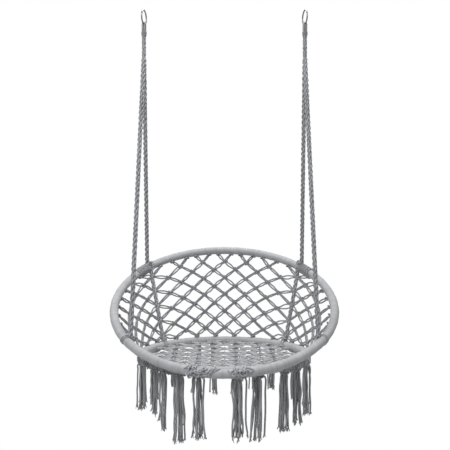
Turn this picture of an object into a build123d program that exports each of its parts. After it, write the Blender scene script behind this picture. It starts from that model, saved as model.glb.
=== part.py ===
from build123d import *
import os
from math import cos, radians, sin

# Hanging nest swing of knotted cotton cord. All sizes in millimetres.
# Origin: midway between the centres of the two hanging rings.
# +Z up, +X to the sitter's left, the chair faces -Y.

# hanging rings
RING_OUTER_DIAMETER = 56.0
RING_WIRE = 5.0
RING_SPREAD = 568.0
RING_TURN = 12.0
RING_SETBACK = 347.0
HANG_HEIGHT = 1183.0

# hoops: steel tube, close-wound with cord
BACK_HOOP_DIAMETER = 800.0
SEAT_HOOP_DIAMETER = 600.0
HOOP_TILT = 26.8
TUBE_DIAMETER = 22.0
TUBE_WALL = 1.5
WRAP_CORD = 4.0

# cords and ropes
ROPE_DIAMETER = 14.0
NET_CORD = 4.0
COLLAR_CORD = 5.0
LASHING_CORD = 5.0

# rope eyes and their whippings
EYE_HOLE = 13.0
EYE_CORD = 7.0
NECK_LENGTH = 8.0
WHIPPING_DIAMETER = 20.0
WHIPPING_LENGTH = 96.0

# knots that hold the ropes on the hoops
BACK_HITCH_DIAMETER = 54.0
SEAT_HITCH_DIAMETER = 44.0
FRONT_HITCH_ANGLE = -35.5
REAR_HITCH_ANGLE = 40.7
FRONT_SEAT_ANGLE = -27.0
REAR_SEAT_ANGLE = 37.6

# knotted nets
NET_THICKNESS = 2 * NET_CORD
FRONT_NET_END_BACK = -63.0
FRONT_NET_END_SEAT = -61.0
SEAT_NET_THICKNESS = 10.0

# clearances
CORD_GAP = 0.3
NET_GAP = 0.5
NECK_GAP = 0.8
ROPE_END_GAP = 5.0
TUBE_SPACE = 1.0
LASHING_SPACE = 2.0
KNOT_SPACE = 3.0

# front lashing: its loops, as angles on the seat hoop from the front
LASHING_LEFT = [-23.4, -21.9, -20.4, -12.2, -10.7, -9.2]
LASHING_MIDDLE = [-6.4, -4.8, -1.2, 0.4]
LASHING_RIGHT = [2.6, 4.1, 12.7, 14.2, 15.7, 17.2]

# fringe: side (-1 = -X), angle on the seat hoop (0 = side, -90 = front), width, drop
TASSELS = [
    (-1, -15.0, 40, 172),
    (-1, -38.5, 26, 160),
    (-1, -48.5, 30, 200),
    (-1, -62.0, 46, 222),
    (-1, -74.0, 41, 204),
    (1, -81.4, 50, 208),
    (1, -68.7, 56, 212),
    (1, -48.9, 43, 200),
    (1, -35.7, 36, 192),
    (1, -18.7, 33, 186),
    (1, 8.0, 36, 180),
    (1, 27.0, 34, 190),
    (1, 51.3, 36, 176),
    (1, 66.0, 40, 198),
    (1, 81.0, 38, 205),
    (-1, 81.3, 36, 206),
    (-1, 68.0, 40, 196),
    (-1, 49.0, 32, 172),
    (-1, 27.0, 34, 188),
    (-1, 8.0, 36, 180),
]
TASSEL_DEPTH = 0.62
TASSEL_NECK = 0.62
COLLAR_WIDTH = 18.0

# sizes that follow from the ones above
HOOP_RADIUS = TUBE_DIAMETER / 2 + WRAP_CORD
BACK_RADIUS = BACK_HOOP_DIAMETER / 2 - HOOP_RADIUS
SEAT_RADIUS = SEAT_HOOP_DIAMETER / 2 - HOOP_RADIUS
HOOP_SPACING = 2 * HOOP_RADIUS + COLLAR_CORD + TUBE_SPACE
COLLAR_RADIUS = HOOP_RADIUS + COLLAR_CORD
LASHING_RADIUS = HOOP_RADIUS + LASHING_SPACE + LASHING_CORD
RING_RADIUS = (RING_OUTER_DIAMETER - RING_WIRE) / 2
EYE_RADIUS = (EYE_HOLE + EYE_CORD) / 2
NECK_TOP = -RING_RADIUS - EYE_RADIUS
NECK_END = NECK_TOP - EYE_CORD / 2 - NECK_LENGTH
NECK_PIVOT = NECK_END - NECK_GAP - WHIPPING_DIAMETER / 2
WHIPPING_END = NECK_PIVOT - WHIPPING_LENGTH

# the two hoops' planes
SLOPE = Vector(0, cos(radians(HOOP_TILT)), sin(radians(HOOP_TILT)))
FRONT = Vector(0, -RING_SETBACK, -HANG_HEIGHT)
BACK_CENTRE = FRONT + SLOPE * BACK_RADIUS
SEAT_CENTRE = FRONT + Vector(0, HOOP_SPACING + SEAT_RADIUS, 0)
BACK_PLANE = Plane(BACK_CENTRE, x_dir=(1, 0, 0), z_dir=(0, -SLOPE.Z, SLOPE.Y))
SEAT_PLANE = Plane(SEAT_CENTRE, x_dir=(1, 0, 0), z_dir=(0, 0, 1))
SIDES = {"left": -1, "right": 1}


def on_circle(plane, radius, side, angle):
    """A point on a hoop: angle 0 is the side, 90 the rear, -90 the front."""
    x = side * radius * cos(radians(angle))
    y = radius * sin(radians(angle))
    return plane.from_local_coords(Vector(x, y, 0))


def on_back(side, angle):
    return on_circle(BACK_PLANE, BACK_RADIUS, side, angle)


def on_seat(side, angle):
    return on_circle(SEAT_PLANE, SEAT_RADIUS, side, angle)


def rod(start, end, radius):
    """A straight round rod between two points."""
    plane = Plane(start, z_dir=end - start)
    return extrude(plane * Circle(radius), (end - start).length)


def rope_between(start, end, leave, stop):
    """A rope that keeps clear of the knots at both its ends."""
    way = (end - start).normalized()
    return rod(start + way * leave, end - way * stop, ROPE_DIAMETER / 2)


# ---- hoops ----

def hoop_tube(plane, radius):
    outer = Torus(radius, TUBE_DIAMETER / 2)
    return plane * (outer - Torus(radius, TUBE_DIAMETER / 2 - TUBE_WALL))


def hoop_wrap(plane, radius):
    return plane * (Torus(radius, HOOP_RADIUS) - Torus(radius, TUBE_DIAMETER / 2))


def bead(plane, radius, centre, diameter):
    """A knot round a hoop, as a ball that the hoop runs through."""
    ball = Pos(centre) * Sphere(diameter / 2)
    return ball - plane * Torus(radius, HOOP_RADIUS + CORD_GAP)


# ---- hanging rings, eyes and ropes ----

def ring_place(side):
    return Pos(side * RING_SPREAD / 2, 0, 0) * Rot(0, 0, side * RING_TURN)


def hanging_ring(side):
    return ring_place(side) * Rot(0, 90, 0) * Torus(RING_RADIUS, RING_WIRE / 2)


def rope_eye(side):
    """The loop of rope through the ring, with the short neck below it."""
    loop = Pos(0, 0, -RING_RADIUS) * Rot(90, 0, 0) * Torus(EYE_RADIUS, EYE_CORD / 2)
    neck = rod(Vector(0, 0, NECK_TOP), Vector(0, 0, NECK_END), ROPE_DIAMETER / 2)
    return ring_place(side) * (loop + neck)


def eye_whipping(side):
    """The binding where both ropes of one side join, round-topped to swing in the neck."""
    x = side * RING_SPREAD / 2
    shaft = rod(Vector(x, 0, NECK_PIVOT), Vector(x, 0, WHIPPING_END), WHIPPING_DIAMETER / 2)
    return shaft + Pos(x, 0, NECK_PIVOT) * Sphere(WHIPPING_DIAMETER / 2)


def suspension_rope(side, lean, angle):
    """One upper rope, from under the whipping to just above its knot."""
    start = Vector(side * RING_SPREAD / 2, lean * (ROPE_DIAMETER + CORD_GAP) / 2, WHIPPING_END)
    stop = BACK_HITCH_DIAMETER / 2 + ROPE_END_GAP
    rope = rope_between(start, on_back(side, angle), 0, stop)
    trim = Pos(start) * Box(100, 100, 50, align=(Align.CENTER, Align.CENTER, Align.MIN))
    return rope - Pos(0, 0, -CORD_GAP) * trim


def lower_rope(side, back_angle, seat_angle):
    """The rope's lower stretch, from its knot on the back hoop to the seat hoop."""
    start = on_back(side, back_angle)
    end = on_seat(side, seat_angle)
    leave = BACK_HITCH_DIAMETER / 2 + CORD_GAP
    return rope_between(start, end, leave, SEAT_HITCH_DIAMETER / 2 + CORD_GAP)


# ---- nets ----

def net_panel(side, back_from, back_to, seat_from, seat_to):
    """A curved panel of net between the hoops, clear of both windings."""
    back_mid = (back_from + back_to) / 2
    seat_mid = (seat_from + seat_to) / 2
    top = ThreePointArc(on_back(side, back_from), on_back(side, back_mid), on_back(side, back_to))
    low = ThreePointArc(on_seat(side, seat_from), on_seat(side, seat_mid), on_seat(side, seat_to))
    middle = Face.make_surface_from_curves(top.edge(), low.edge())
    panel = Solid.thicken(middle, NET_THICKNESS / 2) + Solid.thicken(middle, -NET_THICKNESS / 2)
    panel -= BACK_PLANE * Torus(BACK_RADIUS, HOOP_RADIUS + NET_GAP)
    return panel - SEAT_PLANE * Torus(SEAT_RADIUS, COLLAR_RADIUS + NET_GAP)


def clear_of_knots(panel, knots):
    """A net cut clear of the back hoop's knots."""
    for knot in knots:
        panel -= Pos(knot) * Sphere(BACK_HITCH_DIAMETER / 2 + NET_GAP)
    return panel


def knot_span(plane_radius, diameter):
    """Half the angle that a knot and its clearance take up on a hoop."""
    return (diameter / 2 + KNOT_SPACE) / radians(plane_radius)


def seat_net(knots):
    """The seat's net, inside its hoop and clear of the fringe's collars and the knots."""
    radius = SEAT_RADIUS - max(COLLAR_RADIUS, LASHING_RADIUS) - NET_GAP
    disc = SEAT_PLANE * Cylinder(radius, SEAT_NET_THICKNESS)
    for knot in knots:
        disc -= Pos(knot) * Sphere(SEAT_HITCH_DIAMETER / 2 + NET_GAP)
    return disc


# ---- front lashing ----

def lashing_loop(angle):
    """One turn of cord round both hoops' front tubes."""
    x = SEAT_RADIUS * sin(radians(angle))
    back_drop = BACK_RADIUS - (BACK_RADIUS**2 - x**2) ** 0.5
    seat_drop = SEAT_RADIUS - (SEAT_RADIUS**2 - x**2) ** 0.5
    back = FRONT + SLOPE * back_drop + Vector(x, 0, 0)
    seat = FRONT + Vector(x, HOOP_SPACING + seat_drop, 0)
    reach = LASHING_RADIUS - LASHING_CORD / 2
    length = (seat - back).length + 2 * reach
    plane = Plane((back + seat) / 2, x_dir=seat - back, z_dir=(1, 0, 0))
    path = (plane * SlotOverall(length, 2 * reach)).face().outer_wire()
    start = path @ 0
    section = Plane(start, z_dir=path % 0) * Circle(LASHING_CORD / 2)
    return sweep(section, path)


# ---- fringe ----

def tassel(side, angle, width, drop):
    """A hanging bunch of cords, flattened along the hoop and fuller below its neck."""
    centre = on_circle(SEAT_PLANE, SEAT_RADIUS + COLLAR_CORD, side, angle)
    top = centre - Vector(0, 0, COLLAR_RADIUS + CORD_GAP)
    out = Vector(side * cos(radians(angle)), sin(radians(angle)), 0)
    depth = width * TASSEL_DEPTH
    sections = []
    for share, size in ((0, TASSEL_NECK), (0.35, 0.9), (1, 1)):
        plane = Plane(top - Vector(0, 0, share * (drop - COLLAR_RADIUS)), x_dir=out, z_dir=(0, 0, -1))
        sections.append(plane * Ellipse(depth * size / 2, width * size / 2))
    return loft(sections)


def collar(side, angle):
    """The cord turns that hold one tassel on the seat hoop."""
    arc = COLLAR_WIDTH / radians(SEAT_RADIUS)
    ring = Circle(COLLAR_RADIUS) - Circle(HOOP_RADIUS + CORD_GAP)
    section = Plane((SEAT_RADIUS, 0, 0), x_dir=(1, 0, 0), z_dir=(0, -1, 0)) * ring
    sleeve = Rot(0, 0, -arc / 2) * revolve(section, Axis.Z, revolution_arc=arc)
    turn = angle if side > 0 else 180 - angle
    return SEAT_PLANE * (Rot(0, 0, turn) * sleeve)


# ---- the assembly ----

def all_nodes():
    nodes = {
        "back_hoop_tube": hoop_tube(BACK_PLANE, BACK_RADIUS),
        "back_hoop_wrap": hoop_wrap(BACK_PLANE, BACK_RADIUS),
        "seat_hoop_tube": hoop_tube(SEAT_PLANE, SEAT_RADIUS),
        "seat_hoop_wrap": hoop_wrap(SEAT_PLANE, SEAT_RADIUS),
    }
    back_gap = knot_span(BACK_RADIUS, BACK_HITCH_DIAMETER)
    seat_gap = knot_span(SEAT_RADIUS, SEAT_HITCH_DIAMETER)
    back_knots = []
    seat_knots = []
    for name, side in SIDES.items():
        nodes[f"hanging_ring_{name}"] = hanging_ring(side)
        nodes[f"rope_eye_{name}"] = rope_eye(side)
        nodes[f"eye_whipping_{name}"] = eye_whipping(side)
        for place, lean, back_angle, seat_angle in (
            ("front", -1, FRONT_HITCH_ANGLE, FRONT_SEAT_ANGLE),
            ("rear", 1, REAR_HITCH_ANGLE, REAR_SEAT_ANGLE),
        ):
            back_knot = on_back(side, back_angle)
            seat_knot = on_seat(side, seat_angle)
            back_knots.append(back_knot)
            seat_knots.append(seat_knot)
            nodes[f"rope_{place}_{name}"] = suspension_rope(side, lean, back_angle)
            nodes[f"back_knot_{place}_{name}"] = bead(
                BACK_PLANE, BACK_RADIUS, back_knot, BACK_HITCH_DIAMETER
            )
            nodes[f"lower_rope_{place}_{name}"] = lower_rope(side, back_angle, seat_angle)
            nodes[f"seat_knot_{place}_{name}"] = bead(
                SEAT_PLANE, SEAT_RADIUS, seat_knot, SEAT_HITCH_DIAMETER
            )
        nodes[f"side_net_{name}"] = net_panel(
            side,
            FRONT_HITCH_ANGLE + back_gap,
            REAR_HITCH_ANGLE - back_gap,
            FRONT_SEAT_ANGLE + seat_gap,
            REAR_SEAT_ANGLE - seat_gap,
        )
        nodes[f"front_net_{name}"] = net_panel(
            side,
            FRONT_NET_END_BACK,
            FRONT_HITCH_ANGLE - back_gap,
            FRONT_NET_END_SEAT,
            FRONT_SEAT_ANGLE - seat_gap,
        )
    nodes["back_net"] = net_panel(
        1,
        REAR_HITCH_ANGLE + back_gap,
        180 - REAR_HITCH_ANGLE - back_gap,
        REAR_SEAT_ANGLE + seat_gap,
        180 - REAR_SEAT_ANGLE - seat_gap,
    )
    for name in ("side_net_left", "side_net_right", "front_net_left", "front_net_right", "back_net"):
        nodes[name] = clear_of_knots(nodes[name], back_knots)
    nodes["seat_net"] = seat_net(seat_knots)
    for name, places in (
        ("left", LASHING_LEFT),
        ("middle", LASHING_MIDDLE),
        ("right", LASHING_RIGHT),
    ):
        nodes[f"front_lashing_{name}"] = Compound(children=[lashing_loop(angle) for angle in places])
    for number, (side, angle, width, drop) in enumerate(TASSELS, 1):
        nodes[f"tassel_{number:02d}"] = tassel(side, angle, width, drop)
    nodes["tassel_collars"] = Compound(children=[collar(side, angle) for side, angle, _, _ in TASSELS])
    return nodes


os.makedirs("parts", exist_ok=True)
for node, shape in all_nodes().items():
    export_step(shape, f"parts/{node}.step")
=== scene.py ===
import random
from math import cos, pi, radians, sin, sqrt

import bmesh
import bpy
import numpy as np
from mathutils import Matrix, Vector


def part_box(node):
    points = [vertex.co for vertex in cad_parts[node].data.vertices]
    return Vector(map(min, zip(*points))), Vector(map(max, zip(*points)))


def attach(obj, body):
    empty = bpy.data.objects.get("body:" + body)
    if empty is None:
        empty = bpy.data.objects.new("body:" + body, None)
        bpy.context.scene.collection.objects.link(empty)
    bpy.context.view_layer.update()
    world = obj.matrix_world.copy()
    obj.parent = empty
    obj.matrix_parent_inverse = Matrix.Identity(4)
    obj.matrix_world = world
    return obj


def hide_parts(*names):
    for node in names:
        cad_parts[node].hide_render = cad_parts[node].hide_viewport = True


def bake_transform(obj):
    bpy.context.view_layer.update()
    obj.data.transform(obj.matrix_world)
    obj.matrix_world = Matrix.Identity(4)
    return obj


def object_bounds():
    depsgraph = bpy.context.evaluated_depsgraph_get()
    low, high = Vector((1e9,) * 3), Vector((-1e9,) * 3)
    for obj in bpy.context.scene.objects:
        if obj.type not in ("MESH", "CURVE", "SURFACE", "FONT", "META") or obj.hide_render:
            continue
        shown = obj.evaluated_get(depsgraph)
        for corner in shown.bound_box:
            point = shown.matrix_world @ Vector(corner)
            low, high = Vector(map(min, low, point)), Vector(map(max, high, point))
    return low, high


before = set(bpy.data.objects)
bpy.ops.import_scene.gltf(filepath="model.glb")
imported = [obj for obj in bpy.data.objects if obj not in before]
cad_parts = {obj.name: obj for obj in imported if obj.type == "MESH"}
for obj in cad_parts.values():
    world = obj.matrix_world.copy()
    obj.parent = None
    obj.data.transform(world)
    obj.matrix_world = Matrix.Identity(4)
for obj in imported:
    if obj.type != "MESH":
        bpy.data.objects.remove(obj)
cad_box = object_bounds()

# ---- sizes, in metres ----

# cords: radii, unless a comment says otherwise
CORD = 0.0029            # the net between the hoops
SEAT_CORD = 0.0029       # the seat net
STRAND = 0.0030          # a fringe strand
TIE = 0.0023             # lashings
EYE_CORD = 0.0026        # the cords that pass through a ring

# ropes
ROPE = 0.014             # diameter of a suspension rope
ROPE_CORD = 0.0040       # radius of each of its three cords
ROPE_CORD_OFFSET = 0.0042
ROPE_LAY = 0.058         # length of one turn of a rope's cords
KNOT_STEP = 0.0195       # one knot of the chain that a rope is made of
PLY_STEP = 0.011         # a smaller unevenness along its cords
ROPE_STEP = 0.0028       # between the points along a rope's line
LOWER_ROPE_INSET = 0.008 # how far from the hoops' centrelines a lower rope starts and ends
ROPE_LANDING = {"front": -0.012, "rear": 0.008}  # how far outside the hoop's centreline a rope ends
WRAP_CORD = 0.0052       # width of one turn of the hoops' winding
RIDGE = 0.0015           # depth of the groove between two turns

# net between the hoops
NET_ROWS = 10
ROW_SHARE = 0.0935       # one net row, as a share of the way between the hoops
FIRST_ROW = 0.0175       # how far the rows start below the back hoop, as the same share
LEAST_ROW = 0.0285       # the closest that two rows stand
REAR_EVENNESS = 0.83     # how much closer the rear net's middle columns stand
RIM_INSET = 0.010        # how far inside the back hoop's centreline the net hangs
RIM_SPREAD = 0.29        # how far a rim cord leans from its column, in columns
SIDE_STEP = 0.107        # side net's column, as a share of the way between the ropes
SIDE_DROP = 0.0098       # how far the side net's lines sink in one column
SIDE_LINES = 5
SIDE_COLUMNS = 10
FRONT_COLUMNS = 5
KNOT_ROOM = 0.0065       # room for a knot above the seat hoop
BOW = 0.0023             # how far apart a doubled cord opens
REAR_BOW = 0.0021
RIM_BOW = 0.0022
SIDE_RIM_BOW = 0.0042
LOOSE_BOW = 0.0052       # beside the rear ropes
FRONT_END = (-63.0, -60.0)  # angles on the two hoops where the right front net ends

# seat net
SEAT_COLUMN = 0.0435     # half a seat diamond across
SEAT_ROW = 0.0355        # half a seat diamond, front to back
SEAT_SAG = 0.012
SEAT_BOW = 0.0045

# fringe
FRINGE_SEED = 7
TASSEL_DEPTH = 0.62      # a tassel's depth, as a share of its width
SLENDER_TASSELS = (5, 6, 7)
LEFT_EDGING = (1, 4)     # tassels that a row of small knots runs between
RIGHT_EDGING = (8, 10)

# studio
CAMERA_AWAY = 2.05       # in front of the hoops' front
CAMERA_RISE = 0.45
FIELD_SCALE = 679 / 450  # focal length, as a share of the sensor's width
FLOOR_DROP = 0.8         # below the longest tassel
FLOOR_RADIUS = 1.2
BACKDROP_STRENGTH = 1.0
AMBIENT_STRENGTH = 0.55

SIDES = ("left", "right")
X_AXIS = Vector((1, 0, 0))
DOWN = Vector((0, 0, -1))


# ---- the hoops, as the frame gives them ----

class Hoop:
    """A hoop's centreline circle: angle 0 is at +X, 90 at the rear, -90 at the front."""

    def __init__(self, node, section):
        low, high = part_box(node)
        size = high - low
        self.section = section
        self.centre = (low + high) / 2
        self.radius = size.x / 2 - section
        rise = (size.z - 2 * section) / (2 * self.radius)
        self.slope = Vector((0, sqrt(1 - rise * rise), rise))
        self.normal = X_AXIS.cross(self.slope)

    def out(self, angle):
        return X_AXIS * cos(radians(angle)) + self.slope * sin(radians(angle))

    def way(self, angle):
        return self.slope * cos(radians(angle)) - X_AXIS * sin(radians(angle))

    def at(self, angle, outward=0.0):
        return self.centre + self.out(angle) * (self.radius + outward)

    def front_at(self, x):
        """The centreline's front point at x."""
        return self.at(-90 + np.degrees(np.arcsin(x / self.radius)))

    def angle_of(self, point):
        span = point - self.centre
        return np.degrees(np.arctan2(span.dot(self.slope), span.x))


seat_low, seat_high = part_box("seat_hoop_wrap")
SECTION = (seat_high.z - seat_low.z) / 2
seat = Hoop("seat_hoop_wrap", SECTION)
back = Hoop("back_hoop_wrap", SECTION)


def middle(node):
    low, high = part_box(node)
    return (low + high) / 2


def piece_object(name, mesh):
    obj = bpy.data.objects.new(name, mesh)
    bpy.context.scene.collection.objects.link(obj)
    return obj


# ---- camera ----

front_tube = back.at(-90)
camera = bpy.data.cameras.new("camera")
camera.sensor_width = 36
camera.lens = camera.sensor_width * FIELD_SCALE
camera_object = piece_object("camera", camera)
camera_object.location = (0.002, front_tube.y - CAMERA_AWAY, front_tube.z + CAMERA_RISE)
camera_object.rotation_euler = (radians(90), 0, 0)
bpy.context.scene.camera = camera_object


# ---- materials ----

def nodes_of(name):
    material = bpy.data.materials.new(name)
    material.use_nodes = True
    tree = material.node_tree
    return material, tree, tree.nodes["Principled BSDF"]


def link(tree, start, end):
    tree.links.new(start, end)


def maths(tree, operation, first, second):
    node = tree.nodes.new("ShaderNodeMath")
    node.operation = operation
    for socket, value in zip(node.inputs, (first, second)):
        if isinstance(value, (int, float)):
            socket.default_value = value
        else:
            link(tree, value, socket)
    return node.outputs[0]


def noise(tree, scale, detail, vector):
    node = tree.nodes.new("ShaderNodeTexNoise")
    node.inputs["Scale"].default_value = scale
    node.inputs["Detail"].default_value = detail
    link(tree, vector, node.inputs["Vector"])
    return node.outputs["Fac"]


def ramp(tree, factor, low, high, dark, light):
    node = tree.nodes.new("ShaderNodeValToRGB")
    node.color_ramp.elements[0].position = low
    node.color_ramp.elements[1].position = high
    node.color_ramp.elements[0].color = (*dark, 1)
    node.color_ramp.elements[1].color = (*light, 1)
    link(tree, factor, node.inputs["Fac"])
    return node.outputs["Color"]


def shade(tone, share):
    return tuple(min(1, value * share) for value in tone)


def cotton(name, tone, ply_pitch):
    """Laid cotton cord: three plies that follow the cord, with painted shade in the grooves between them,
    fuzz, and faded and darker stretches.
    """
    material, tree, shader = nodes_of(name)
    place = tree.nodes.new("ShaderNodeTexCoord").outputs["Object"]
    lay = tree.nodes.new("ShaderNodeAttribute")
    lay.attribute_name = "cord_lay"
    parts = tree.nodes.new("ShaderNodeSeparateXYZ")
    link(tree, lay.outputs["Vector"], parts.inputs[0])
    turn = maths(tree, "ARCTAN2", parts.outputs["Y"], parts.outputs["X"])
    run = maths(tree, "MULTIPLY", parts.outputs["Z"], 2 * pi / ply_pitch)
    wave = maths(tree, "SINE", maths(tree, "ADD", maths(tree, "MULTIPLY", turn, 3.0), run), 0.0)
    ply = maths(tree, "MULTIPLY_ADD", wave, 0.5)
    ply.node.inputs[2].default_value = 0.5
    fuzz = noise(tree, 900, 3, place)
    patches = noise(tree, 26, 4, place)
    mixed = maths(tree, "ADD", maths(tree, "MULTIPLY", patches, 0.6), maths(tree, "MULTIPLY", fuzz, 0.4))
    # The ply wave makes the colour darker in the grooves between the plies, which is painted shade; the
    # patches and fuzz are the cord's own tone.
    ply_shade_and_patches = maths(tree, "ADD", maths(tree, "MULTIPLY", ply, 0.4), maths(tree, "MULTIPLY", mixed, 0.6))
    colour = ramp(tree, ply_shade_and_patches, 0.25, 0.75, shade(tone, 0.5), shade(tone, 1.4))
    link(tree, colour, shader.inputs["Base Color"])
    height = maths(tree, "ADD", ply, maths(tree, "MULTIPLY", fuzz, 0.5))
    bump = tree.nodes.new("ShaderNodeBump")
    bump.inputs["Strength"].default_value = 0.5
    bump.inputs["Distance"].default_value = 0.0008
    link(tree, height, bump.inputs["Height"])
    link(tree, bump.outputs["Normal"], shader.inputs["Normal"])
    shader.inputs["Roughness"].default_value = 0.92
    shader.inputs["Sheen Weight"].default_value = 0.25
    shader.inputs["Sheen Roughness"].default_value = 0.5
    shader.inputs["Specular IOR Level"].default_value = 0.2
    return material


def winding(name, tone):
    """Close-wound cotton: every turn a little lighter or darker, with fuzz and faint soiling."""
    material, tree, shader = nodes_of(name)
    place = tree.nodes.new("ShaderNodeTexCoord").outputs["Object"]
    lay = tree.nodes.new("ShaderNodeAttribute")
    lay.attribute_name = "cord_lay"
    turn = noise(tree, 1.0, 2, lay.outputs["Vector"])
    fuzz = noise(tree, 1100, 3, place)
    patches = noise(tree, 14, 4, place)
    mixed = maths(tree, "ADD", maths(tree, "MULTIPLY", turn, 0.45), maths(tree, "MULTIPLY", fuzz, 0.25))
    mixed = maths(tree, "ADD", mixed, maths(tree, "MULTIPLY", patches, 0.3))
    colour = ramp(tree, mixed, 0.3, 0.7, shade(tone, 0.76), shade(tone, 1.2))
    link(tree, colour, shader.inputs["Base Color"])
    bump = tree.nodes.new("ShaderNodeBump")
    bump.inputs["Strength"].default_value = 0.45
    bump.inputs["Distance"].default_value = 0.0006
    link(tree, fuzz, bump.inputs["Height"])
    link(tree, bump.outputs["Normal"], shader.inputs["Normal"])
    shader.inputs["Roughness"].default_value = 0.94
    shader.inputs["Sheen Weight"].default_value = 0.25
    shader.inputs["Specular IOR Level"].default_value = 0.2
    return material


def steel(name, tone, smooth, metal):
    """Plated or coated steel with fine scratches and duller patches."""
    material, tree, shader = nodes_of(name)
    place = tree.nodes.new("ShaderNodeTexCoord").outputs["Object"]
    patches = noise(tree, 120, 4, place)
    colour = ramp(tree, patches, 0.35, 0.7, shade(tone, 0.8), shade(tone, 1.1))
    link(tree, colour, shader.inputs["Base Color"])
    rough = maths(tree, "MULTIPLY_ADD", patches, 0.25)
    rough.node.inputs[2].default_value = smooth
    link(tree, rough, shader.inputs["Roughness"])
    shader.inputs["Metallic"].default_value = metal
    return material


wound_cord = winding("wound_cord_grey", (0.315, 0.322, 0.333))
net_cord = cotton("net_cord_grey", (0.21, 0.216, 0.227), 0.012)
seat_cord = cotton("seat_net_cord_grey", (0.325, 0.332, 0.346), 0.012)
rope_cord = cotton("rope_cord_grey", (0.25, 0.257, 0.27), 0.014)
lashing_cord = cotton("lashing_cord_grey", (0.30, 0.306, 0.32), 0.013)
fringe_cord = cotton("fringe_cord_grey", (0.26, 0.266, 0.278), 0.013)
ring_steel = steel("ring_plated_steel", (0.24, 0.245, 0.26), 0.22, 1.0)
tube_steel = steel("hoop_tube_coating", (0.09, 0.09, 0.095), 0.45, 0.0)


def dress(obj, material):
    obj.data.materials.clear()
    obj.data.materials.append(material)


# ---- cords as meshes ----

def arc_lengths(points):
    steps = np.linalg.norm(np.diff(np.array(points), axis=0), axis=1)
    return np.concatenate([[0.0], np.cumsum(steps)])


def cord_mesh(name, runs, rounds=2):
    """A mesh of round cords. A run is (points, radius or radii, closed).
    Its cord_lay attribute holds the angle round the cord and the distance along it."""
    curve = bpy.data.curves.new(name, "CURVE")
    curve.dimensions = "3D"
    curve.bevel_depth = 1.0
    curve.bevel_resolution = rounds
    curve.use_fill_caps = True
    sides = 2 * rounds + 4
    lays = []
    for points, radius, closed in runs:
        count = len(points)
        spline = curve.splines.new("POLY")
        spline.points.add(count - 1)
        flat = np.ones((count, 4))
        flat[:, :3] = points
        spline.points.foreach_set("co", flat.ravel())
        spline.points.foreach_set("radius", np.broadcast_to(radius, count).astype(float))
        spline.use_cyclic_u = closed
        along = arc_lengths(points)
        if not closed:
            along = np.concatenate([[along[-1]], [0.0], along])
        angle = np.arange(sides) * 2 * pi / sides
        lay = np.empty((len(along), sides, 3))
        lay[:, :, 0] = np.cos(angle)
        lay[:, :, 1] = np.sin(angle)
        lay[:, :, 2] = along[:, None]
        lays.append(lay.reshape(-1, 3))
    holder = piece_object(name + "_line", curve)
    bpy.context.view_layer.update()
    mesh = bpy.data.meshes.new_from_object(holder)
    bpy.data.objects.remove(holder)
    bpy.data.curves.remove(curve)
    mesh.name = name
    attribute = mesh.attributes.new("cord_lay", "FLOAT_VECTOR", "POINT")
    attribute.data.foreach_set("vector", np.concatenate(lays).ravel())
    work = bmesh.new()
    work.from_mesh(mesh)
    bmesh.ops.remove_doubles(work, verts=work.verts, dist=1e-7)
    bmesh.ops.recalc_face_normals(work, faces=work.faces)
    for face in work.faces:
        face.smooth = True
    work.to_mesh(mesh)
    work.free()
    return mesh


def cord_piece(name, runs, material, body, rounds=2):
    obj = piece_object(name, cord_mesh(name, runs, rounds))
    dress(obj, material)
    if body:
        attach(obj, body)
    return obj


def route(points, fineness):
    """Points along one smooth line through space, a NURBS spline that the given points steer."""
    curve = bpy.data.curves.new("route", "CURVE")
    curve.dimensions = "3D"
    spline = curve.splines.new("NURBS")
    spline.points.add(len(points) - 1)
    for place, point in zip(spline.points, points):
        place.co = (*point, 1)
    spline.order_u = 3
    spline.use_endpoint_u = True
    spline.resolution_u = fineness
    holder = piece_object("route", curve)
    bpy.context.view_layer.update()
    mesh = bpy.data.meshes.new_from_object(holder)
    line = [vertex.co.copy() for vertex in mesh.vertices]
    bpy.data.objects.remove(holder)
    bpy.data.meshes.remove(mesh)
    return line


def knot_run(centre, way, across, size, radius, count=22):
    """One overhand knot, as a closed cord. Way is its long direction."""
    way = way.normalized()
    lift = way.cross(across).normalized()
    across = lift.cross(way)
    points = []
    for step in range(count):
        t = 2 * pi * step / count
        points.append(
            centre
            + way * size * 0.42 * (cos(t) - 1.3 * cos(2 * t))
            + across * size * 0.36 * (sin(t) + 1.3 * sin(2 * t))
            + lift * size * 0.30 * sin(3 * t)
        )
    return points, radius, True


def turn_run(hoop, angle, radius, lean=0.0):
    """One turn of cord round a hoop's section. Lean slides its far side along the hoop, in degrees."""
    points = []
    count = 18
    for step in range(count):
        t = 2 * pi * step / count
        here = angle + lean * sin(t)
        arm = hoop.out(here) * cos(t) + hoop.normal * sin(t)
        points.append(hoop.at(here) + arm * (hoop.section + radius * 0.8))
    return points, radius, True


def under_run(hoop, angle, radius, lean=0.0):
    """A cord that passes under a hoop, from its outer side to its inner side."""
    points = []
    count = 13
    for step in range(count):
        t = radians(20 - 200 * step / (count - 1))
        here = angle + lean * sin(t)
        arm = hoop.out(here) * cos(t) + hoop.normal * sin(t)
        away = hoop.section + radius * 0.8 - (0.004 if step in (0, count - 1) else 0)
        points.append(hoop.at(here) + arm * away)
    return points, radius, False


# ---- suspension ropes, made first ----

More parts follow.
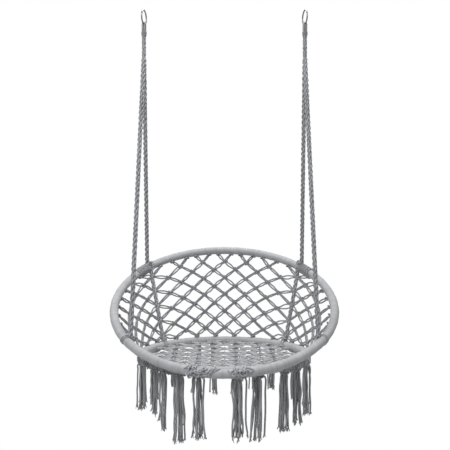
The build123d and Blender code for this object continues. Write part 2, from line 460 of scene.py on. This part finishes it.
def twisted(line, cords, wander=0.0):
    """Cords laid round a line. Each cord is (start angle, distance from the line, radius, lay)."""
    points = np.array(line)
    along = arc_lengths(points)
    way = (points[-1] - points[0]) / np.linalg.norm(points[-1] - points[0])
    side = np.cross(way, (0.0, 1.0, 0.0))
    side /= np.linalg.norm(side)
    other = np.cross(way, side)
    runs = []
    for start, distance, radius, lay in cords:
        turn = start + 2 * pi * along / lay + wander * np.sin(along * 41)
        offset = np.cos(turn)[:, None] * side + np.sin(turn)[:, None] * other
        swell = 1 + 0.13 * np.sin(along * 2 * pi / KNOT_STEP)
        swell = swell + 0.05 * np.sin(along * 2 * pi / PLY_STEP + start)
        runs.append((points + offset * distance, radius * swell, False))
    return runs


def straight_line(start, end):
    count = max(12, int((end - start).length / ROPE_STEP))
    return route([start, start.lerp(end, 0.5), end], count // 2)


def rope_cords():
    turns = (0.0, 2 * pi / 3, 4 * pi / 3)
    return [(turn, ROPE_CORD_OFFSET, ROPE_CORD, ROPE_LAY) for turn in turns]


def declared_rope(name, start, end, node, bodies):
    """A rope that rides one body, or, given two bodies, is baked in place and rides none."""
    line = straight_line(start, end)
    obj = cord_piece(name, twisted(line, rope_cords(), 0.35), rope_cord, None)
    if len(bodies) == 2:
        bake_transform(obj)
    else:
        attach(obj, *bodies)
    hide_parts(node)
    return obj


def rope_start(side_name, lean):
    low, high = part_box(f"eye_whipping_{side_name}")
    x = (low.x + high.x) / 2
    return Vector((x, lean * ROPE / 2, low.z + 0.006))


knots = {}  # where the ropes hold the back hoop and the seat hoop
for side_name in SIDES:
    for place, lean in (("front", -1), ("rear", 1)):
        back_knot = middle(f"back_knot_{place}_{side_name}")
        seat_knot = middle(f"seat_knot_{place}_{side_name}")
        knots[(place, side_name)] = (back_knot, seat_knot)
        start = rope_start(side_name, lean)
        out = back.out(back.angle_of(back_knot))
        lands = back_knot + out * ROPE_LANDING[place] + back.normal * (SECTION - 0.006)
        hung_from = ("ropes_left", "back") if side_name == "left" else ("ropes_right",)
        declared_rope(
            f"suspension_rope_{place}_{side_name}", start, lands,
            f"rope_{place}_{side_name}", hung_from,
        )
        drop = (seat_knot - back_knot).normalized()
        top = back_knot + drop * LOWER_ROPE_INSET - out * RIM_INSET
        bottom = seat_knot - drop * LOWER_ROPE_INSET
        declared_rope(
            f"lower_rope_run_{place}_{side_name}", top, bottom,
            f"lower_rope_{place}_{side_name}", ("back", "seat"),
        )


# ---- fringe ----

draw = random.Random(FRINGE_SEED)


def frayed_end(tip, way, radius):
    """The loose plies where a strand is cut."""
    runs = []
    for _ in range(5):
        spread = Vector((draw.uniform(-1, 1), draw.uniform(-1, 1), draw.uniform(-0.2, 0.2)))
        length = draw.uniform(0.008, 0.016)
        half = tip + way * length * 0.5 + spread * 0.0026
        end = tip + way * length + spread * draw.uniform(0.0035, 0.0065)
        points = [tip - way * 0.004 + spread * 0.0006, half, end]
        runs.append((points, [radius * 0.5, radius * 0.46, radius * 0.3], False))
    return runs


def strand(top, out, along, offset, bulge, length, arch):
    """One hanging strand: out from its knot, then down with a slight wander."""
    drift = Vector((draw.uniform(-1, 1), draw.uniform(-1, 1), 0)) * 0.005
    lean = (along * offset).normalized() if arch else Vector((0, 0, 0))
    points = [top + along * offset * 0.30 + out * bulge * 0.4]
    if arch:
        points.append(top + along * offset * 0.75 - DOWN * 0.001 + out * bulge * 0.6)
    for number, share in enumerate((0.05, 0.13, 0.27, 0.45, 0.65, 0.84, 1.0)):
        spread = 1.0 if arch else min(1.0, 0.78 + share * 0.35)
        sway = Vector((draw.uniform(-1, 1), draw.uniform(-1, 1), 0)) * 0.0030
        tuck = lean * -0.004 * sin(pi * share)
        place = top + along * offset * spread + out * bulge * spread + drift * share + tuck
        points.append(place + sway * (number > 0) + DOWN * length * share)
    return route(points, 4)


def tassel_places(width, slender):
    """Offsets of a tassel's strands: a bunch, and loose ones that arch out beside it."""
    loose = 3 if slender else 1
    bunch = max(5, round(width / (0.0062 if slender else 0.0048)))
    spread = 0.17 if slender else 0.34
    shift = draw.uniform(-0.08, 0.08) * width
    places = []
    for index in range(bunch):
        share = (index + 0.5) / bunch * 2 - 1
        depth = (0.15 if index % 2 else -0.15) * width * draw.uniform(0.5, 1.0)
        places.append((shift + share * width * spread, depth, False))
    for index in range(loose):
        hand = (-1, 1)[index % 2]
        offset = hand * width * draw.uniform(0.44, 0.50) * (1 if index < 2 else 0.7)
        places.append((offset, draw.uniform(-0.1, 0.3) * width, True))
    places.append((draw.uniform(-0.2, 0.2) * width, width * 0.36, True))
    return places


def make_tassel(number):
    node = f"tassel_{number:02d}"
    low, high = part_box(node)
    centre = (low + high) / 2
    angle = seat.angle_of(centre)
    out = Vector((cos(radians(angle)), sin(radians(angle)), 0))
    along = Vector((-out.y, out.x, 0))
    size = high - low
    if abs(along.x) > 0.7:
        width = size.x / sqrt(along.x ** 2 + (TASSEL_DEPTH * abs(along.y)) ** 2)
    else:
        width = size.y / sqrt(along.y ** 2 + (TASSEL_DEPTH * abs(along.x)) ** 2)
    top = seat.at(angle, outward=0.004) + DOWN * (SECTION + 0.003)
    length = top.z - low.z
    strands, loose = [], []
    for offset, bulge, arch in tassel_places(width, number in SLENDER_TASSELS):
        cut = length * draw.uniform(0.93, 1.02) - 0.010
        if draw.random() < 0.10:
            cut *= draw.uniform(0.78, 0.88)
        line = strand(top, out, along, offset, bulge, cut, arch)
        strands.append(line)
        loose += frayed_end(line[-1], (line[-1] - line[-3]).normalized(), STRAND)
    main = strands.pop(2)
    lead = cord_piece(f"{node}_strand", [(main, STRAND, False)], fringe_cord, "seat")
    others = [(line, STRAND, False) for line in strands]
    bunch = cord_piece(f"{node}_bunch", others + loose, fringe_cord, "seat", rounds=1)
    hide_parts(node)
    return angle, width


TASSEL_COUNT = sum(name.startswith("tassel_") and name[-1].isdigit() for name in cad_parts)
tassels = [make_tassel(number) for number in range(1, TASSEL_COUNT + 1)]


def collar_runs(angle, width):
    """The turns under the hoop and the knots that hold a tassel."""
    runs = []
    span = np.degrees(STRAND * 2 / seat.radius)
    turns = 3 if width < 0.034 else 4
    for index in range(turns):
        here = angle + (index - (turns - 1) / 2) * span * 1.1
        runs.append(under_run(seat, here, STRAND * 0.95, lean=draw.uniform(-0.5, 0.5)))
    low = seat.at(angle, outward=0.004) + DOWN * (SECTION + 0.003)
    for hand in (-1, 1):
        knot_place = low + seat.way(angle) * hand * width * 0.13
        tilt = (seat.way(angle) + DOWN * draw.uniform(-0.5, 0.5)).normalized()
        runs.append(knot_run(knot_place, tilt, seat.out(angle), 0.0110, STRAND))
    side = seat.at(angle, outward=SECTION * 0.95) + DOWN * SECTION * 0.45
    runs.append(knot_run(side, seat.way(angle), Vector((0, 0, 1)), 0.0100, STRAND))
    return runs


def edging_runs(first, last):
    """Small turns side by side under the hoop, from one tassel to the next."""
    runs = []
    start, end = tassels[first - 1][0], tassels[last - 1][0]
    count = round(radians(abs(end - start)) * seat.radius / (STRAND * 4.4))
    for index in range(1, count):
        here = start + (end - start) * (index + draw.uniform(-0.2, 0.2)) / count
        runs.append(under_run(seat, here, STRAND * 0.8, lean=draw.uniform(-2.2, 2.2)))
        if index % 2:
            spot = seat.at(here, outward=SECTION * 0.6) + DOWN * (SECTION * 0.9)
            slant = seat.way(here) + DOWN * draw.uniform(-0.9, 0.9)
            runs.append(knot_run(spot, slant, seat.out(here), 0.0110, STRAND * 0.8))
    return runs


runs = edging_runs(*LEFT_EDGING) + edging_runs(*RIGHT_EDGING)
for angle, width in tassels:
    runs += collar_runs(angle, width)
collars = cord_piece("tassel_collar_turns", runs, fringe_cord, "seat", rounds=1)
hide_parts("tassel_collars")


# ---- the hoops' windings ----

def wound_hoop(name, hoop, node, body):
    """A hoop's winding: a ring of round section whose surface rises over every turn of cord."""
    turns = round(2 * pi * hoop.radius / WRAP_CORD)
    steps = turns * 5
    circle = [hoop.at(360 * step / steps) for step in range(steps)]
    mesh = cord_mesh(name, [(circle, hoop.section, True)], rounds=6)
    flat = np.empty(len(mesh.vertices) * 3)
    mesh.vertices.foreach_get("co", flat)
    span = flat.reshape(-1, 3) - np.array(hoop.centre)
    east, north, up = span[:, 0], span @ np.array(hoop.slope), span @ np.array(hoop.normal)
    theta = np.arctan2(north, east)
    outward = np.stack([np.cos(theta), np.sin(theta)], 1) @ np.array([X_AXIS, hoop.slope])
    phi = np.arctan2(up, np.hypot(east, north) - hoop.radius)
    turn = theta / (2 * pi) * turns + phi / (2 * pi)
    uneven = 0.00025 * np.sin(theta * 37) + 0.0002 * np.sin(theta * 83 + 1)
    ridge = np.abs(np.cos(pi * turn)) ** 0.8
    section = hoop.section - RIDGE * (1 - ridge) + uneven
    core = np.array(hoop.centre) + outward * hoop.radius
    arm = outward * np.cos(phi)[:, None] + np.array(hoop.normal) * np.sin(phi)[:, None]
    mesh.vertices.foreach_set("co", (core + arm * section[:, None]).ravel())
    lay = np.stack([np.cos(theta) * turns / 6, np.sin(theta) * turns / 6, phi * 0.2], 1)
    mesh.attributes["cord_lay"].data.foreach_set("vector", lay.ravel())
    mesh.update()
    obj = piece_object(name, mesh)
    dress(obj, wound_cord)
    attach(obj, body)
    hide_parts(node)
    return obj


wound_hoop("back_hoop_winding", back, "back_hoop_wrap", "back")
wound_hoop("seat_hoop_winding", seat, "seat_hoop_wrap", "seat")


# ---- the net between the hoops ----

net_draw = random.Random(11)


class Span:
    """The surface between the hoops, from one pair of angles to another."""

    def __init__(self, back_angles, seat_angles):
        self.back_angles = back_angles
        self.seat_angles = seat_angles

    def ends(self, share):
        top = np.interp(share, (0, 1), self.back_angles) + min(0, share) * 8
        low = np.interp(share, (0, 1), self.seat_angles)
        return back.at(top, outward=-RIM_INSET), seat.at(low)

    def length(self, share):
        top, low = self.ends(share)
        return (low - top).length

    def at(self, share, depth):
        top, low = self.ends(share)
        return top.lerp(low, depth / (low - top).length)

    def limit(self, share):
        """How deep a cord can go before the seat hoop's knots."""
        return self.length(share) - SECTION - KNOT_ROOM

    def face(self, share):
        top, low = self.ends(min(1, share + 0.02))
        other_top, other_low = self.ends(max(0, share - 0.02))
        across = ((top + low) - (other_top + other_low)).normalized()
        fall = (low - top).normalized()
        return across, fall, across.cross(fall).normalized()


def doubled(start, end, face, radius, bow=BOW, gap=0.62):
    """Two cords side by side between two knots, apart for a part of their way."""
    way = (end - start).normalized()
    sideways = way.cross(face).normalized()
    runs = []
    slack = net_draw.uniform(0.4, 1.7)
    skew = net_draw.choice((0.6, 0.8, 1.3, 1.6))
    for hand in (-1, 1):
        points = []
        for share in (0.0, 0.17, 0.34, 0.5, 0.66, 0.83, 1.0):
            open_here = sin(pi * share ** skew) ** 2
            away = radius * gap + bow * slack * open_here * net_draw.uniform(0.8, 1.2)
            bend = face * net_draw.uniform(-1, 1) * 0.0008
            points.append(start.lerp(end, share) + sideways * hand * away + bend)
        runs.append((points, radius, False))
    return runs


def net_knot(span, share, here):
    """The knot where four doubled cords meet."""
    across, fall, _ = span.face(share)
    tilt = net_draw.uniform(-0.5, 0.5)
    size = net_draw.uniform(0.0100, 0.0118)
    return knot_run(here, across + fall * tilt, fall - across * tilt, size, CORD)


def rim_tie(span, share, here, bow=RIM_BOW):
    """The doubled cord from a knot up to the back hoop, with the knot that holds it."""
    end = span.at(share, SECTION * 0.72)
    _, _, face = span.face(min(1, max(0, share)))
    angle = back.angle_of(end)
    knot = knot_run(end, back.way(angle), face, net_draw.uniform(0.0085, 0.0100), CORD * 0.95)
    return doubled(here, end, face, CORD, bow=bow) + [knot]


def seat_tie(span, share):
    """The knot that ties net cords on top of the seat hoop."""
    place = span.at(share, span.limit(share) + KNOT_ROOM * 0.4)
    angle = seat.angle_of(place)
    return [knot_run(place, seat.way(angle), DOWN, 0.0105, CORD),
            knot_run(place + DOWN * 0.003, seat.out(angle), DOWN, 0.0095, CORD)]


def rear_share(column):
    """Where a rear column stands, 0 at one rope and 1 at the other. Columns run from -3 to 3."""
    spread = REAR_EVENNESS + (1 - REAR_EVENNESS) * (column / 3) ** 4
    return 0.5 + column / 6 * spread


def rear_depth(span, share, row):
    length = span.length(share)
    return FIRST_ROW * length + row * max(ROW_SHARE * length, LEAST_ROW)


def rear_net_runs(span):
    runs = []
    tied = set()
    for row in range(1, NET_ROWS + 1):
        shift = 0.0 if row % 2 else 0.5
        columns = [shift + number for number in range(-3, 4) if abs(shift + number) <= 3]
        for column in columns:
            share = rear_share(column)
            depth = rear_depth(span, share, row)
            if depth > span.limit(share):
                continue
            here = span.at(share, depth)
            face = span.face(share)[2]
            runs.append(net_knot(span, share, here))
            if row == 1:
                for hand in (-RIM_SPREAD, RIM_SPREAD):
                    if abs(column + hand) < 3:
                        runs += rim_tie(span, rear_share(column + hand), here)
            for hand in (-0.5, 0.5):
                if abs(column + hand) > 3:
                    continue
                next_share = rear_share(column + hand)
                next_depth = rear_depth(span, next_share, row + 1)
                if next_depth > span.limit(next_share):
                    next_depth = span.limit(next_share)
                    if column + hand not in tied:
                        tied.add(column + hand)
                        runs += seat_tie(span, next_share)
                loose = LOOSE_BOW if abs(column) == 3 and hand * column < 0 else REAR_BOW
                runs += doubled(here, span.at(next_share, next_depth), face, CORD, bow=loose)
    return runs


def side_spot(span, line, column):
    """A knot of the side net: its line below the back hoop and its column from the rear rope."""
    share = column * SIDE_STEP
    first = rear_depth(span, 0, 1)
    step = rear_depth(span, 0, 3) - first
    return share, first + line * step + column * SIDE_DROP


def side_net_runs(span):
    """Share 0 is at the rear rope and 1 at the front rope."""
    runs = []
    tied = set()
    for line in range(SIDE_LINES):
        for column in range(SIDE_COLUMNS):
            share, depth = side_spot(span, line, column)
            if share > 1 or depth > span.limit(share):
                continue
            here = span.at(share, depth)
            face = span.face(share)[2]
            if column:
                runs.append(net_knot(span, share, here))
            if line == 0:
                tie_share = share + 1.1 * SIDE_STEP
                if tie_share < 0.93:
                    runs += rim_tie(span, tie_share, here, bow=SIDE_RIM_BOW)
            for next_line, next_column in ((line, column + 1), (line + 1, column - 1)):
                if next_column < 0:
                    continue
                next_share, next_depth = side_spot(span, next_line, next_column)
                next_share = min(1.0, next_share)
                if next_depth > span.limit(next_share):
                    next_depth = span.limit(next_share)
                    if next_column not in tied:
                        tied.add(next_column)
                        runs += seat_tie(span, next_share)
                runs += doubled(here, span.at(next_share, next_depth), face, CORD)
    return runs


def front_net_runs(span):
    """Share 0 is at the front rope. The doubled cords run straight from hoop to hoop."""
    runs = []
    pitch = 1 / (FRONT_COLUMNS + 0.5)
    for number in range(1, FRONT_COLUMNS + 1):
        share = number * pitch
        here = span.at(share, span.length(share) * 0.5)
        face = span.face(share)[2]
        runs.append(net_knot(span, share, here))
        for hand in (-0.35, 0.35):
            side = share + hand * pitch
            runs += rim_tie(span, side, here)
            low = span.at(side, max(span.limit(side), span.length(side) * 0.55))
            runs += doubled(here, low, face, CORD)
        runs += seat_tie(span, share)
    return runs


def net_piece(name, runs, node):
    obj = cord_piece(name, runs, net_cord, None, rounds=1)
    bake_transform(obj)
    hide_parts(node)
    return obj


def hoop_angles(pair):
    return back.angle_of(pair[0]), seat.angle_of(pair[1])


right_back, right_seat = hoop_angles(knots[("rear", "right")])
rear_span = Span((right_back, 180 - right_back), (right_seat, 180 - right_seat))
REAR_DEPTH = back.at(90)
net_piece(
    "rear_net_cords", rear_net_runs(rear_span), "back_net",
)

for side_name in SIDES:
    rear_back, rear_seat = hoop_angles(knots[("rear", side_name)])
    front_back, front_seat = hoop_angles(knots[("front", side_name)])
    front_end = FRONT_END
    if side_name == "left":
        front_back, front_seat = front_back % 360, front_seat % 360
        front_end = (180 - FRONT_END[0], 180 - FRONT_END[1])
    side_span = Span((rear_back, front_back), (rear_seat, front_seat))
    front_span = Span((front_back, front_end[0]), (front_seat, front_end[1]))
    net_piece(
        f"side_net_cords_{side_name}", side_net_runs(side_span), f"side_net_{side_name}",
    )
    net_piece(
        f"front_net_cords_{side_name}", front_net_runs(front_span), f"front_net_{side_name}",
    )


# ---- the seat net ----

def seat_spot(x, y):
    far = min(1.0, (x * x + y * y) / (seat.radius - SECTION) ** 2)
    return seat.centre + Vector((x, y, -SEAT_SAG * (1 - far)))


def to_rim(spot, end):
    """Where the line from one net point to another meets the seat hoop."""
    start, stop = spot - seat.centre, end - seat.centre
    limit = seat.radius - SECTION * 0.75
    for step in range(1, 41):
        here = start.lerp(stop, step / 40)
        if Vector((here.x, here.y)).length >= limit:
            return seat.centre + here
    return None


def seat_net_runs():
    runs, ties = [], []
    face = Vector((0, 0, 1))
    reach = seat.radius - SECTION - 0.006
    columns = int(seat.radius / SEAT_COLUMN) + 1
    rows = int(seat.radius / SEAT_ROW) + 1
    for i in range(-columns, columns + 1):
        for j in range(-rows, rows + 1):
            if (i + j) % 2:
                continue
            x, y = i * SEAT_COLUMN, j * SEAT_ROW
            if x * x + y * y > reach * reach:
                continue
            here = seat_spot(x, y)
            size = net_draw.uniform(0.0085, 0.0108)
            ties.append(knot_run(here + Vector((0, 0, 0.001)), X_AXIS, seat.slope, size, SEAT_CORD))
            for di, dj in ((1, 1), (-1, 1), (1, -1), (-1, -1)):
                nx, ny = x + di * SEAT_COLUMN, y + dj * SEAT_ROW
                inside = nx * nx + ny * ny <= reach * reach
                if inside and dj < 0:
                    continue
                end = seat_spot(nx, ny) if inside else to_rim(here, seat_spot(nx, ny))
                if end is None:
                    continue
                runs += doubled(here, end, face, SEAT_CORD, bow=SEAT_BOW, gap=1.0)
                if not inside:
                    angle = seat.angle_of(end)
                    ties.append(knot_run(end, seat.way(angle), face, 0.0085, SEAT_CORD))
    return runs, ties


seat_runs, seat_ties = seat_net_runs()
seat_mesh = cord_piece("seat_net_cords", seat_runs, seat_cord, "seat", rounds=1)
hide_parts("seat_net")
# The seat net's knots use the darker rope cord grey as painted shade for the shadowed gaps where the cords
# meet.
cord_piece("seat_net_knots", seat_ties, rope_cord, "seat", rounds=1)


# ---- knots of the ropes on the hoops ----

def hitch_piece(name, hoop, centre, rope_way, node, body, turns, cord, spread, shift, material):
    """Turns of cord round a hoop beside a rope's end, with the knot that locks them.
    Spread is their pitch in cord widths, and shift moves them forward along the hoop, in degrees."""
    angle = hoop.angle_of(centre)
    span = np.degrees(cord * 2 / hoop.radius) * spread
    forward = -1 if centre.x > 0 else 1
    runs = []
    for index in range(turns):
        here = angle + forward * shift + (index - (turns - 1) / 2) * span
        runs.append(turn_run(hoop, here, cord, lean=span * 0.8 * net_draw.uniform(0.6, 1.3)))
    turned = cord_piece(name + "_turns", runs, material, body)
    inward = (-hoop.out(angle) * 0.5 + rope_way).normalized()
    spot = centre + inward * (hoop.section + cord)
    low = centre - hoop.out(angle) * (hoop.section + 0.002) - hoop.normal * 0.004
    runs = [
        knot_run(spot, rope_way, hoop.way(angle), 0.0125, 0.0032, 30),
        knot_run(low, hoop.way(angle), rope_way, 0.0110, 0.0030, 26),
        knot_run(spot + rope_way * 0.006, hoop.way(angle), rope_way, 0.0090, 0.0030, 26),
    ]
    cord_piece(name + "_knot", runs, rope_cord, body)
    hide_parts(node)


for (place, side_name), (back_knot, seat_knot) in knots.items():
    up = (rope_start(side_name, 0) - back_knot).normalized()
    rear = place == "rear"
    hitch_piece(
        f"back_hitch_{place}_{side_name}", back, back_knot, up, f"back_knot_{place}_{side_name}", "back",
        turns=11 if rear else 3,
        cord=0.0026 if rear else 0.0012,
        spread=1.12 if rear else 2.4,
        shift=4.2 if rear else -2.0,
        material=rope_cord if rear else wound_cord,
    )
    rise = (back_knot - seat_knot).normalized()
    hitch_piece(
        f"seat_hitch_{place}_{side_name}", seat, seat_knot, rise, f"seat_knot_{place}_{side_name}", "seat",
        turns=4, cord=0.0022, spread=1.1, shift=0.0, material=lashing_cord,
    )


# ---- front lashing ----

tie_draw = random.Random(5)


def lashing_run(x, lean, reach, radius):
    """One turn of cord round both hoops' front tubes, leaning along them by lean."""
    points = []
    count = 30
    for step in range(count):
        t = 2 * pi * step / count
        here = x + lean * sin(t)
        back_tube, seat_tube = back.front_at(here), seat.front_at(here)
        forward = (back_tube - seat_tube).normalized()
        up = X_AXIS.cross(-forward).normalized()
        core = back_tube if cos(t) > 0 else seat_tube
        if abs(cos(t)) < 0.5:
            core = seat_tube.lerp(back_tube, 0.5 + cos(t))
        arm = forward * cos(t) + up * sin(t)
        points.append(core + arm * (SECTION + reach + radius))
    return points, radius, True


def on_tube(x, turn, reach=0.0):
    """A point on the back hoop's front tube: turn 0 faces forward, 90 is the top."""
    arm = Vector((0, -cos(radians(turn)), sin(radians(turn))))
    return back.front_at(x) + arm * (SECTION + reach), arm


def diagonal_run(x, turn, end_x, end_turn, radius):
    """A cord laid slantwise over the front tube, from one place on it to another."""
    points = []
    for step in range(13):
        share = step / 12
        spot, _ = on_tube(x + (end_x - x) * share, turn + (end_turn - turn) * share, radius * 0.75)
        points.append(spot)
    return points, radius, False


def lashing_piece(name, node, loops, diagonals, knots_at):
    """Loops are (x, lean), diagonals (x, turn, end x, end turn) and knots (x, turn, size)."""
    runs = []
    for place, lean in loops:
        runs.append(lashing_run(place, lean, tie_draw.uniform(0.0, 0.0012), TIE))
    for diagonal in diagonals:
        runs.append(diagonal_run(*diagonal, TIE * 0.8))
    for x, turn, size in knots_at:
        spot, arm = on_tube(x, turn, TIE * 1.3)
        slant = (X_AXIS + arm.cross(X_AXIS) * tie_draw.uniform(-0.8, 0.8)).normalized()
        runs.append(knot_run(spot, slant, arm.cross(slant), size, TIE, 28))
    obj = cord_piece(name, runs, lashing_cord, None)
    x = sum(place for place, _ in loops) / len(loops)
    back.front_at(x)
    seat.front_at(x)
    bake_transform(obj)
    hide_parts(node)


lashing_piece(
    "front_lashing_turns_left", "front_lashing_left",
    [(-0.107, 0.004), (-0.096, 0.012), (-0.076, 0.012)],
    [
        (-0.122, 25, -0.106, 88), (-0.114, 35, -0.098, 95), (-0.084, 10, -0.060, 80),
        (-0.074, 5, -0.050, 70), (-0.066, -15, -0.034, 78), (-0.112, -20, -0.088, 30),
    ],
    [(-0.104, 8, 0.015), (-0.094, 20, 0.013), (-0.098, -22, 0.015), (-0.080, 2, 0.013), (-0.068, 12, 0.012)],
)
lashing_piece(
    "front_lashing_turns_middle", "front_lashing_middle",
    [(-0.048, 0.018)],
    [(-0.056, -8, -0.022, 82), (-0.046, -4, -0.012, 84), (-0.062, -18, -0.050, 6)],
    [(-0.052, 0, 0.010)],
)
lashing_piece(
    "front_lashing_turns_right", "front_lashing_right",
    [(0.034, -0.005), (0.046, 0.008), (0.060, 0.004)],
    [
        (0.090, 30, 0.072, 2), (0.088, 34, 0.066, 88), (0.022, 5, 0.010, 62), (0.020, 30, 0.034, 70),
        (0.064, 20, 0.050, 86), (0.030, 12, 0.044, 84),
    ],
    [(0.046, 8, 0.015), (0.058, 0, 0.014), (0.036, 2, 0.013), (0.052, -24, 0.015), (0.064, 18, 0.011)],
)


# ---- eyes and whippings at the rings ----

def eye_runs(side_name):
    """Cords that pass over the ring's wire and come down together."""
    ring = middle(f"hanging_ring_{side_name}")
    low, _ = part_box(f"rope_eye_{side_name}")
    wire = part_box(f"hanging_ring_{side_name}")[0].z + 0.0025
    runs = []
    for hand in (-2, -1, 0, 1, 2):
        y = hand * 0.0038
        span = 0.0056 if hand % 2 else 0.0031
        bottom = low.z - 0.010
        points = [(ring.x - 0.0050, y * 0.5, bottom), (ring.x - span, y, wire - 0.012)]
        for step in range(9):
            t = pi - pi * step / 8
            points.append((ring.x + span * cos(t), y, wire + 0.0052 * sin(t)))
        points += [(ring.x + span, y, wire - 0.012), (ring.x + 0.0050, y * 0.5, bottom)]
        runs.append(([Vector(point) for point in points], EYE_CORD, False))
    belt = [(ring.x + 0.0066 * cos(t), 0.0070 * sin(t), wire - 0.013 + 0.001 * sin(t))
            for t in np.linspace(0, 2 * pi, 16, endpoint=False)]
    runs.append(([Vector(point) for point in belt], 0.0021, True))
    return runs


for side_name in SIDES:
    eye = cord_piece(f"rope_eye_cords_{side_name}", eye_runs(side_name), rope_cord, "eyes")
    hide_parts(f"rope_eye_{side_name}")
    low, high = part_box(f"eye_whipping_{side_name}")
    x = (low.x + high.x) / 2
    line = straight_line(Vector((x, 0, high.z + 0.004)), Vector((x, 0, low.z - 0.004)))
    cords = [(pi / 2 * index, 0.0042, 0.0036, 0.052) for index in range(4)]
    bound = twisted(line, cords, 0.2)
    for number, height in enumerate((0.004, 0.009, 0.014)):
        ring_points = [Vector((x + 0.0080 * cos(t), 0.0080 * sin(t), high.z - height + 0.001 * sin(t)))
                       for t in np.linspace(0, 2 * pi, 16, endpoint=False)]
        bound.append((ring_points, 0.0022, True))
    whipping = cord_piece(f"eye_binding_{side_name}", bound, rope_cord, f"ropes_{side_name}")
    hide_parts(f"eye_whipping_{side_name}")


# ---- CAD nodes that stay ----

for name in ("hanging_ring_left", "hanging_ring_right"):
    dress(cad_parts[name], ring_steel)
for name in ("back_hoop_tube", "seat_hoop_tube"):
    dress(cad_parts[name], tube_steel)


# ---- studio ----

def studio():
    """A pale floor below, soft light from above and a bright surround."""
    work = bmesh.new()
    bmesh.ops.create_circle(work, cap_ends=True, radius=FLOOR_RADIUS, segments=96)
    for vertex in work.verts:
        vertex.co.z = cad_box[0].z - FLOOR_DROP
    mesh = bpy.data.meshes.new("floor")
    work.to_mesh(mesh)
    work.free()
    floor = piece_object("floor", mesh)
    material, tree, shader = nodes_of("pale_floor")
    place = tree.nodes.new("ShaderNodeTexCoord").outputs["Object"]
    link(tree, ramp(tree, noise(tree, 3, 2, place), 0.2, 0.8, (0.8, 0.8, 0.8), (0.86, 0.86, 0.86)),
         shader.inputs["Base Color"])
    shader.inputs["Roughness"].default_value = 0.9
    mesh.materials.append(material)

    world = bpy.data.worlds.new("surround")
    world.use_nodes = True
    tree = world.node_tree
    background = tree.nodes["Background"]
    background.inputs["Color"].default_value = (1, 1, 1, 1)
    seen = tree.nodes.new("ShaderNodeLightPath").outputs["Is Camera Ray"]
    strength = maths(tree, "MULTIPLY_ADD", seen, BACKDROP_STRENGTH - AMBIENT_STRENGTH)
    strength.node.inputs[2].default_value = AMBIENT_STRENGTH
    link(tree, strength, background.inputs["Strength"])
    bpy.context.scene.world = world
    bpy.context.scene.view_settings.view_transform = "Standard"

    for name, place, size, power in (
        ("key", (-1.5, -1.9, 1.3), 1.3, 72),
        ("fill", (1.9, -1.6, 0.2), 1.6, 8),
        ("top", (0.1, 0.5, 1.2), 1.2, 50),
    ):
        light = bpy.data.lights.new(name, "AREA")
        light.shape = "DISK"
        light.size = size
        light.energy = power
        lamp = piece_object(name, light)
        lamp.location = place
        aim = seat.centre + Vector((0, 0, 0.1)) - lamp.location
        lamp.rotation_euler = aim.to_track_quat("-Z", "Y").to_euler()


studio()
